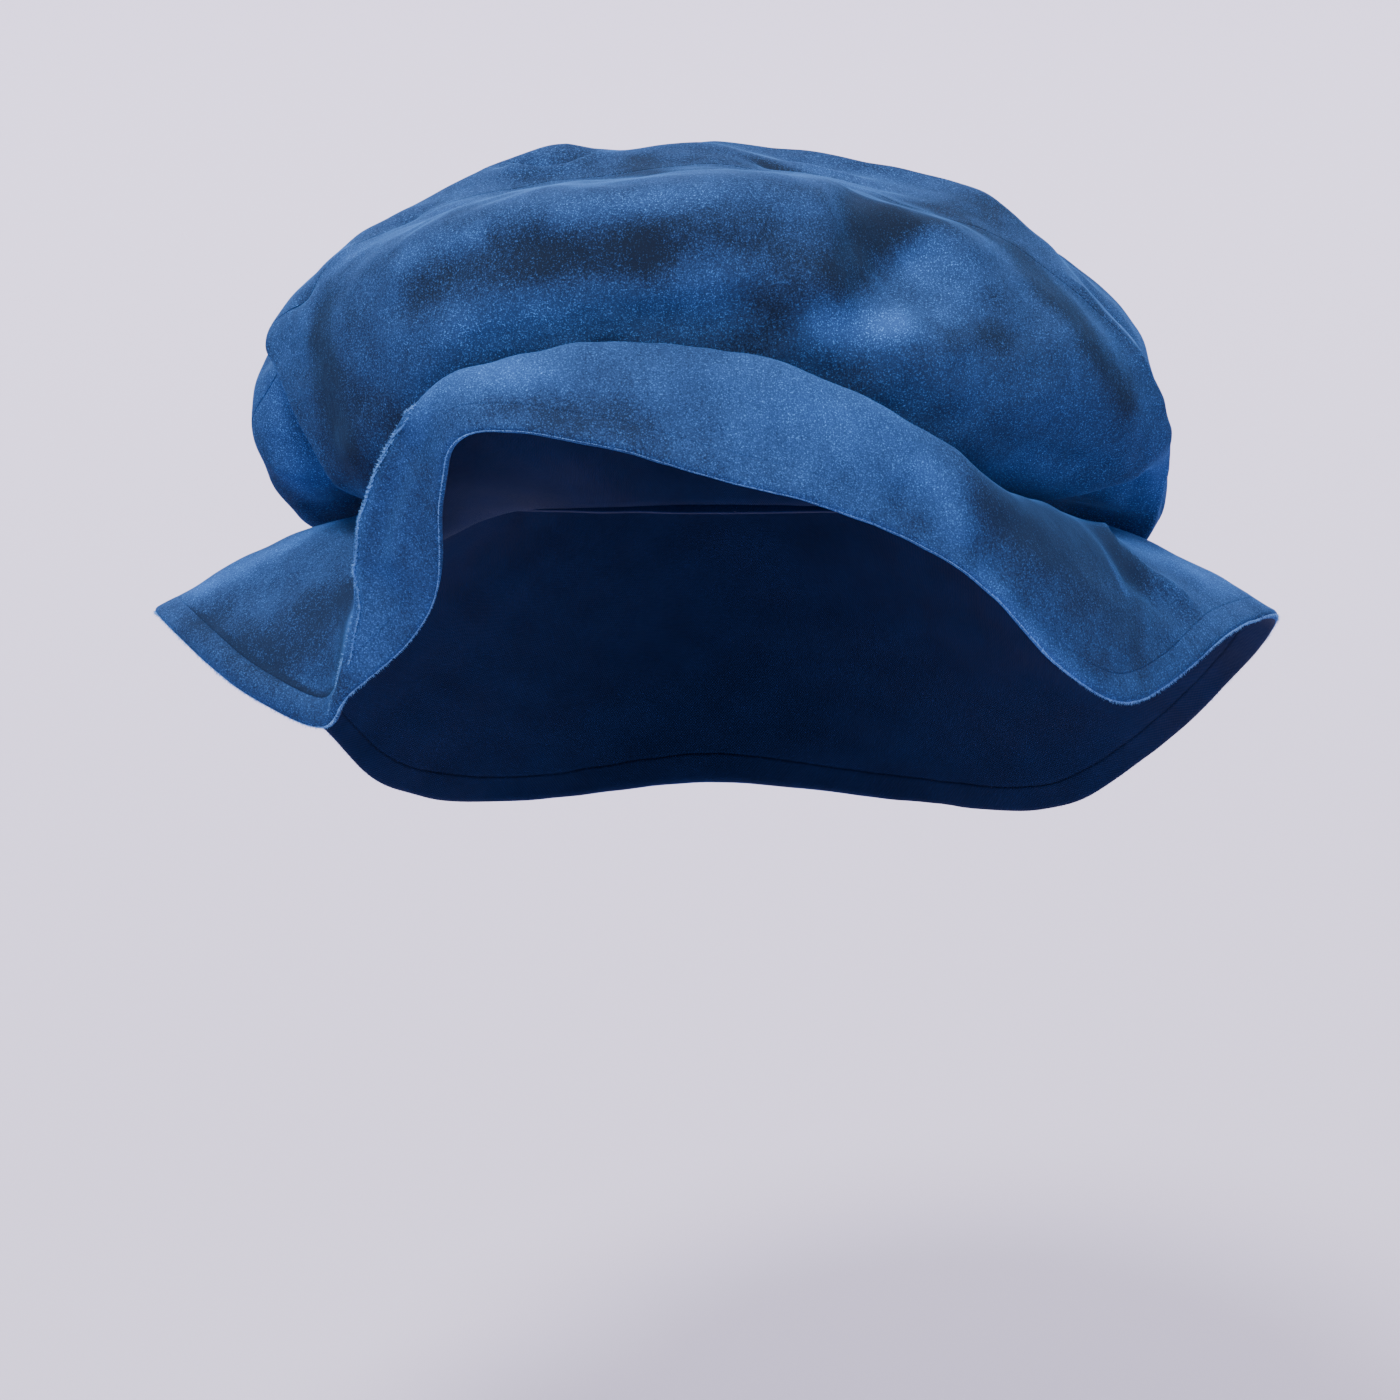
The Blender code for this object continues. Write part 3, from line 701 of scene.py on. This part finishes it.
# the marks paint a highlight along the crown's folds, and light and shade from the strokes
finishPiece(makeSheet("crown_side_cloth", side, [crownVelvet, velvetBack], crown["wall"],
                      linedRows=len(crown["tuckDepths"]),
                      marks={"shine": foldShine(side, crownFolds), "paintedShading": paintedShadingOf(side, crownPaintedShading)}),
            "crown_side")
finishPiece(makeSheet("crown_top_cloth", top, [crownVelvet, velvetBack], crown["wall"], pole=True,
                      marks={"shine": foldShine(top, crownFolds), "paintedShading": paintedShadingOf(top, crownPaintedShading)}),
            "crown_top")


# the brim: velvet above, lining below, and a hem round the free edge
brim = {
    "stations": 432, "rows": 84, "fineRows": 200, "wall": 1.4, "liningWall": 1.0, "layerGap": 0.5,
    "hemWidth": 8.0, "hemGap": -0.8, "hemThickness": 3.2, "hemRows": 10, "hemSink": 0.08, "hemArch": 0.05,
    "rollArch": 1.9, "rollSink": 0.7, "rollPlace": (-131, -54, -37), "rollReach": 37.0, "grooveShadeWidth": 1.7,
    "archPower": 0.7, "noseRows": 5, "noseTurn": 60, "noseBack": 0.5, "weldReach": 0.01,
    "ripples": ((0.35, 30, 21), (0.15, 12, 22)), "seamFade": 12,
}
# at | middle x y z | edge x y z
brimSections = np.array((
    (0, 122, -6, -10, 164, 0, -35),
    (15, 118, 26, -32, 154, 34, -64),
    (30, 104, 50, -60, 132, 58, -95),
    (45, 84, 66, -72, 105, 66, -115),
    (65, 48, 88, -80, 62, 82, -119),
    (90, 0, 104, -78, 0, 94, -117),
    (115, -48, 88, -80, -62, 82, -119),
    (135, -84, 64, -66, -99, 64, -108),
    (150, -103, 46, -50, -121, 50, -82),
    (165, -116, 24, -28, -146, 28, -58),
    (180, -118, -4, -8, -163, 0, -33),
    (195, -112, -30, -4, -147, -40, -35),
    (207, -106, -50, -6, -131, -62, -40),
    (217, -102, -68, -12, -111, -80, -43),
    (223, -99, -81, -6, -100.8, -87, -30.5),
    (228, -98, -88, 12, -85, -93, -14),
    (233, -92, -95, 32, -77, -100, 4),
    (239, -84, -102, 49, -76, -110, 30),
    (245, -74, -110, 62, -71, -119, 50),
    (252, -58, -113, 69, -55, -128, 56),
    (261, -30, -112, 75, -29, -134, 53),
    (270, 0, -110, 73, 0, -133, 44),
    (281, 20, -110, 68, 27, -130, 36),
    (292, 42, -107, 58, 54, -122, 23),
    (302, 60, -102, 45, 74.5, -115, 7),
    (313, 73, -94, 33, 94, -106, -16.5),
    (323, 86, -77, 22, 112.3, -93, -31.5),
    (333, 98, -56, 12, 128.5, -70, -33),
    (345, 111, -33, 0, 147.5, -41, -26.5),
), float)


# shine, where given, paints a highlight along the fold's crest
brimFolds = {
    "left crest": {
        "path": ((-80, -105, 55), (-86, -101, 47), (-92, -96, 34), (-97, -90, 19), (-99, -88, 5),
                 (-98, -87, -7), (-100, -86, -18), (-103, -84, -32), (-106, -82, -40)),
        "width": 3.2, "depth": 2.6, "sharp": 1.1, "shine": 1.0,
    },
    "left trough": {
        "path": ((-79, -110, 48), (-86, -102, 33), (-92, -96, 20), (-94, -93, 8), (-93, -91, -5)),
        "width": 5, "depth": -1.8, "sharp": 2,
    },
    "left streak": {
        "path": ((-81, -109, 42), (-85, -103, 30), (-88, -98, 18), (-89, -95, 5)),
        "width": 3.5, "depth": 1.4, "sharp": 2,
    },
    "right turn": {
        "path": ((62, -104, 44), (66, -107, 38), (69, -113, 29), (71, -117, 19)),
        "width": 7, "depth": 2.2, "sharp": 2,
    },
    "right crease": {
        "path": ((109, -38, 2), (110, -50, 4), (112, -54, 1), (115, -54, -1), (119, -52, -5), (123, -50, -9),
                 (129, -48, -13), (135, -47, -18)),
        "width": 3.2, "depth": 2.4, "sharp": 1.2, "shine": 0.6,
    },
    "right crease valley": {
        "path": ((111, -62, 2), (116, -62, -5), (122, -58, -11), (129, -55, -17)),
        "width": 4.5, "depth": -1.6, "sharp": 2,
    },
    "left hem groove": {
        "path": ((-150, -26, -29), (-141, -42, -30), (-130, -56, -33), (-119, -67, -33), (-110, -74, -33)),
        "width": 3.5, "depth": -0.6, "sharp": 2,
    },
    "left flap swell": {"path": ((-124, -50, -18), (-112, -60, -18)), "width": 12, "depth": 2.0, "sharp": 2},
    "left flap dent": {"path": ((-136, -34, -22), (-118, -42, -12)), "width": 9, "depth": -1.8, "sharp": 2},
}


# painted light and shade on the brim: darker under the crown and on the flaps, lighter on lit turns and strips
brimNap = {
    "under the crown": {
        "path": ((72, -92, 40), (78, -98, 30), (89, -88, 20), (102, -72, 11), (111, -58, 3)),
        "width": 14, "paintedShading": -0.7,
    },
    "right flap": {"path": ((89, -101, 11), (101, -93, -3), (116, -77, -13)), "width": 15, "paintedShading": -0.3},
    "right flap streak": {
        "path": ((109, -65, 4), (110, -68, 1), (112, -69, -2), (115, -69, -7)),
        "width": 2, "paintedShading": 0.4,
    },
    "right flap, top": {"path": ((120, -34, -5), (134, -24, -13), (146, -18, -20)), "width": 6, "paintedShading": 0.3},
    "right turn": {"path": ((57, -114, 40), (62, -114, 32), (65, -116, 23)), "width": 5, "paintedShading": 0.4},
    "right strip": {
        "path": ((73, -115, 11), (82, -112, -3), (90, -108, -14), (99, -102, -24)),
        "width": 4, "paintedShading": 0.4,
    },
    "left flap": {"path": ((-148, -30, -28), (-137, -44, -27), (-124, -60, -30)), "width": 9, "paintedShading": -0.35},
    "left flap, inner": {"path": ((-114, -58, -16), (-109, -70, -24)), "width": 10, "paintedShading": -0.3},
    "left flap, top": {
        "path": ((-147, -13, -23), (-134, -17, -14), (-119, -19, -6), (-108, -14, -2)),
        "width": 6, "paintedShading": 0.5,
    },
    "left turn, top": {"path": ((-87, -101, 49), (-90, -99, 43), (-93, -97, 36)), "width": 4, "paintedShading": -0.3},
    "left turn": {"path": ((-104, -61, -9), (-103, -78, -17), (-104, -84, -27)), "width": 4, "paintedShading": -0.4},
    "front turn": {
        "path": ((-79, -108, 30), (-79, -108, 44), (-74, -115, 55), (-58, -123, 61), (-20, -131, 57)),
        "width": 5, "paintedShading": -0.2,
    },
    "front, left end": {"path": ((-77, -106, 61), (-64, -113, 67), (-50, -118, 68)), "width": 7, "paintedShading": 0.25},
    "front": {"path": ((12, -120, 62), (28, -117, 59), (44, -114, 51)), "width": 12, "paintedShading": 0.2},
}


# from the opening over the middle, which is the crest of the turned-up front, to the free edge: sections
# joined round the brim, lifted along their normals by folds and ripples
def brimSurface():
    count = brim["stations"]
    angle = np.radians(roundSpline(brimSections[:, 0], count, 360.0))
    points = np.stack([openingPoint(angle)] + sectionCurves(brimSections, count), axis=1)
    grid = sectionSpline(points, np.linspace(0, 1, brim["fineRows"] + 1)[None, :])
    normal = -normalsOf(grid)
    lift = withRipples(foldHeight(grid, brimFolds), grid, brim["ripples"])
    fade = np.clip(np.linspace(0, brim["seamFade"], brim["fineRows"] + 1), 0, 1)
    return grid + normal * (lift * fade)[:, :, None]


# 1 at the raised roll on the left flap, falling off as exp(-(distance / reach) ** 4)
def rollShare(edge):
    distance = np.linalg.norm(edge - brim["rollPlace"], axis=1)
    return np.exp(-((distance / brim["rollReach"]) ** 4))


# closed band round the free edge: its nose is an arc from 60 to -60 degrees, its inner edge lies under the
# velvet, and its upper face swells to arch * sin(pi * row / rows) ** power, more near the roll's place
def hemBand(grid):
    rows = brim["hemRows"]
    band = resample(grid[:, ::-1], 0.0, brim["hemWidth"], rows)
    normal = normalsOf(band)
    high = (brim["hemThickness"] - brim["wall"] - brim["layerGap"] - brim["liningWall"]) / 2
    low = high - brim["hemThickness"]
    outward = unit(band[:, 0] - band[:, 1])
    roll = rollShare(band[:, 0])
    arch = brim["hemArch"] + (brim["rollArch"] - brim["hemArch"]) * roll
    sink = brim["hemSink"] + (brim["rollSink"] - brim["hemSink"]) * roll
    turns = np.radians(np.linspace(brim["noseTurn"], -brim["noseTurn"], brim["noseRows"]))
    middle = (high + low) / 2
    half = (high - low) / 2
    nose = []
    for a in turns:
        forward = outward * half * (math.cos(a) - brim["noseBack"])
        nose.append(band[:, 0] + normal[:, 0] * (middle + half * math.sin(a)) + forward)
    upper = []
    for k in range(rows - 1, 0, -1):
        rise = high * (1 - k / rows) + arch * math.sin(math.pi * k / rows) ** brim["archPower"]
        upper.append(band[:, k] + normal[:, k] * rise[:, None])
    sunk = band[:, rows] - normal[:, rows] * sink[:, None]
    lower = [band[:, k] + normal[:, k] * low for k in range(1, rows + 1)]
    return np.stack([sunk] + upper + nose + lower, axis=1)


# the loops joined to a closed band, lined from just under the nose's middle inwards, with the strokes'
# painted light and shade
def makeBand(name, loops, materials, strokes):
    stations, count = loops.shape[:2]
    closed = np.concatenate([loops, loops[:, :1]], axis=1)
    piece = makeSheet(name, closed, materials, flip=True, marks={"paintedShading": paintedShadingOf(closed, strokes)})
    firstLined = brim["hemRows"] + brim["noseRows"] // 2 + 1
    under = np.tile(np.arange(count) >= firstLined, stations)
    piece.data.polygons.foreach_set("material_index", under.astype(np.int32))
    weld = piece.modifiers.new("Close the band", "WELD")
    weld.merge_threshold = brim["weldReach"] * mm
    return piece


brimCloth = brimSurface()
velvetLayer = resample(brimCloth, 0.0, -(brim["hemWidth"] + brim["hemGap"]), brim["rows"])
liningLayer = velvetLayer + normalsOf(velvetLayer) * (brim["wall"] + brim["layerGap"])
fromHem = np.linalg.norm(velvetLayer - velvetLayer[:, -1:], axis=2)
# painted shade in the groove along the inner side of the raised hem roll, taken off the strokes' value
groove = np.exp(-((fromHem / brim["grooveShadeWidth"]) ** 2)) * rollShare(velvetLayer[:, -1])[:, None]
layerPaintedShading = paintedShadingOf(velvetLayer, brimNap) - groove
# the marks paint a highlight along the brim's folds, and light and shade from the strokes
finishPiece(makeSheet("brim_cloth", velvetLayer, [brimVelvet, velvetBack], brim["wall"], flip=True,
                      marks={"shine": foldShine(velvetLayer, brimFolds), "paintedShading": layerPaintedShading}),
            "brim")
finishPiece(makeSheet("brim_lining_cloth", liningLayer[:, ::2], [liningCloth], brim["liningWall"],
                      flip=True), "brim_lining")
finishPiece(makeBand("brim_hem_cloth", hemBand(brimCloth), [brimVelvet, liningCloth], brimNap),
            "brim_hem")


# short fibres along the brim's edge and along the ridge of the left flap
fuzz = {
    "seed": 4, "edgeCount": 9000, "edgeLength": (0.5, 1.4), "ridgeCount": 3200, "ridgeLength": (0.5, 1.2),
    "radius": 0.06, "spread": 0.55, "aside": (0.31, 0.52, 0.80), "searchReach": 25.0,
    "shortShare": 0.3, "growFrom": 60, "growOver": 40,
    # the fibres' colours are far lighter than the velvet: a painted highlight for the light the pile catches at
    # edges
    "dark": (0.05, 0.20, 0.62), "light": (0.24, 0.52, 1.0), "toneScale": 400.0, "rough": 0.7, "specular": 0.2,
    "sheen": 0.1, "sheenRoughness": 0.4,
}


# closed three-sided spikes: a triangle of this radius round each base, and a tip at base + way * length
def makeFibres(name, base, way, length, radius, material):
    count = len(base)
    level = unit(np.cross(way, fuzz["aside"]))
    other = np.cross(way, level)
    thirds = np.radians((0, 120, 240))
    corners = [base + radius * (level * math.cos(a) + other * math.sin(a)) for a in thirds]
    points = np.stack(corners + [base + way * length[:, None]], axis=1).reshape(-1, 3)
    spike = np.array(((0, 1, 3), (1, 2, 3), (2, 0, 3), (2, 1, 0)))
    faces = (np.arange(count)[:, None, None] * 4 + spike[None, :, :]).reshape(-1, 3)
    mesh = bpy.data.meshes.new(name)
    mesh.from_pydata((points * mm).tolist(), [], faces.tolist())
    mesh.materials.append(material)
    return addObject(name, mesh)


# places along a path, set down on the tangent plane of the grid's nearest point, with that point's normal
def placesOn(grid, normals, path, count, rng):
    path = np.array(path, float)
    lengths = np.linalg.norm(np.diff(path, axis=0), axis=1)
    starts = np.concatenate([[0], np.cumsum(lengths)])
    wanted = np.sort(rng.uniform(0, starts[-1], count))
    along = np.stack([np.interp(wanted, starts, path[:, axis]) for axis in range(3)], axis=1)
    flat, flatNormals = grid.reshape(-1, 3), normals.reshape(-1, 3)
    close = (np.abs(flat[:, None, :] - path[None, :, :]).max(axis=2) < fuzz["searchReach"]).any(axis=1)
    nearby = flat[close]
    nearest = np.linalg.norm(along[:, None, :] - nearby[None, :, :], axis=2).argmin(axis=1)
    normal = flatNormals[close][nearest]
    rise = ((nearby[nearest] - along) * normal).sum(axis=1, keepdims=True)
    return along + normal * rise, normal


# fibre colour, a painted highlight
fuzzShader = Shader("pile_fuzz")
fuzzTone = fuzzShader.noise(fuzzShader.place(), fuzz["toneScale"])
fuzzShader.feed("Base Color", fuzzShader.mixColour(fuzzTone, colour(*fuzz["dark"]), colour(*fuzz["light"])))
fuzzShader.fixed(Roughness=fuzz["rough"], Sheen_Weight=fuzz["sheen"], Sheen_Roughness=fuzz["sheenRoughness"],
                 Specular_IOR_Level=fuzz["specular"])


# fibres of random lean and length on these places
def addFuzz(name, places, normals, lengths, rng, share=1.0):
    way = unit(normals + rng.normal(size=normals.shape) * fuzz["spread"])
    length = rng.uniform(*lengths, len(places)) * share
    piece = makeFibres(name, places, way, length, fuzz["radius"], fuzzShader.material)
    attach(piece, "root")
    print("made", name)


# at random places round the hem's nose, pointing away from a loop three before it on the upper face; short
# over the front and full length on the flaps
def edgeFuzz(rng):
    hem = hemBand(brimCloth)
    nose = hem[:, brim["hemRows"] + 1]
    outward = unit(nose - hem[:, brim["hemRows"] - 2])
    step = rng.uniform(0, brim["stations"], fuzz["edgeCount"])
    before = step.astype(int)
    after = (before + 1) % brim["stations"]
    part = (step - before)[:, None]
    places = nose[before] * (1 - part) + nose[after] * part
    normals = outward[before] * (1 - part) + outward[after] * part
    grown = np.clip((np.abs(nose[before, 0]) - fuzz["growFrom"]) / fuzz["growOver"], 0, 1)
    share = fuzz["shortShare"] + (1 - fuzz["shortShare"]) * grown
    addFuzz("brim_edge_fuzz", places, normals, fuzz["edgeLength"], rng, share)


# at random places along the crease on the left flap
def ridgeFuzz(rng):
    places, normals = placesOn(velvetLayer, -normalsOf(velvetLayer), brimFolds["left crest"]["path"],
                               fuzz["ridgeCount"], rng)
    addFuzz("brim_ridge_fuzz", places, normals, fuzz["ridgeLength"], rng)


fuzzRandom = np.random.default_rng(fuzz["seed"])
edgeFuzz(fuzzRandom)
ridgeFuzz(fuzzRandom)


# floor, light and camera; lamps are place, target, size, power, tint
studio = {
    "floorHeight": -0.36, "floorFront": -4.0, "floorDepth": 3.2, "halfWidth": 6.0, "wallHeight": 4.0,
    "cornerRadius": 1.2, "backdrop": (0.71, 0.65, 0.84),
    "worldColour": (0.86, 0.84, 0.92), "worldStrength": 0.35,
    "cameraPlace": (-0.0043, -1.7345, 0.4890), "cameraDip": 17.6, "lens": 159.7, "sensor": 36.0,
}
lamps = {
    "key": ((-0.5, -1.0, 2.0), (0, 0, 0), 0.6, 60, (1.0, 0.98, 0.96)),
    "fill": ((0.7, -2.1, 0.1), (0, 0, 0), 1.6, 9, (0.95, 0.97, 1.0)),
    "top": ((0.0, 0.7, 1.7), (0, 0, 0.05), 1.4, 24, (1.0, 1.0, 1.0)),
    "wallLeft": ((-1.6, 1.6, 2.4), (-0.8, 4.4, 0.4), 1.2, 145, (1.0, 0.99, 1.0)),
    "wallRight": ((1.6, 1.6, 2.4), (0.8, 4.4, 0.4), 1.2, 145, (1.0, 0.99, 1.0)),
}


# floor and wall in one sweep: flat, then a quarter circle, then straight up
def sweep():
    radius, depth = studio["cornerRadius"], studio["floorDepth"]
    arc = np.radians(np.linspace(0, 90, 24))
    y = np.concatenate([[studio["floorFront"]], depth + radius * np.sin(arc), [depth + radius]])
    z = np.concatenate([[0.0], radius * (1 - np.cos(arc)), [studio["wallHeight"]]]) + studio["floorHeight"]
    x = np.linspace(-studio["halfWidth"], studio["halfWidth"], 3)
    points = np.stack(np.broadcast_arrays(x[:, None], y[None, :], z[None, :]), axis=-1)
    rows = len(y)
    i, j = np.meshgrid(np.arange(len(x) - 1), np.arange(rows - 1), indexing="ij")
    near = (i * rows + j).ravel()
    quads = np.stack([near, near + rows, near + rows + 1, near + 1], axis=-1)
    mesh = bpy.data.meshes.new("backdrop")
    mesh.from_pydata(points.reshape(-1, 3).tolist(), [], quads.tolist())
    mesh.polygons.foreach_set("use_smooth", np.ones(len(quads), bool))
    shader = Shader("backdrop_paper")
    shader.fixed(Base_Color=colour(*studio["backdrop"]), Roughness=0.95, Specular_IOR_Level=0.1)
    mesh.materials.append(shader.material)
    addObject("backdrop", mesh)


# a disc lamp turned so that its -Z axis points at the target
def areaLight(name, place, target, size, power, tint):
    data = bpy.data.lights.new(name, "AREA")
    data.shape = "DISK"
    data.size = size
    data.energy = power
    data.color = tint
    lamp = addObject(name, data)
    lamp.location = place
    aim = np.array(target) - np.array(place)
    aim = aim / np.linalg.norm(aim)
    lamp.rotation_euler = (math.acos(-aim[2]), 0, math.atan2(-aim[0], aim[1]))


sweep()
for name, lamp in lamps.items():
    areaLight(name, *lamp)
world = bpy.data.worlds.new("soft")
world.use_nodes = True
background = world.node_tree.nodes["Background"]
background.inputs["Color"].default_value = colour(*studio["worldColour"])
background.inputs["Strength"].default_value = studio["worldStrength"]
bpy.context.scene.world = world

cameraData = bpy.data.cameras.new("camera")
cameraData.lens = studio["lens"]
cameraData.sensor_width = studio["sensor"]
camera = addObject("camera", cameraData)
camera.location = studio["cameraPlace"]
camera.rotation_euler = (math.radians(90 - studio["cameraDip"]), 0, 0)
bpy.context.scene.camera = camera
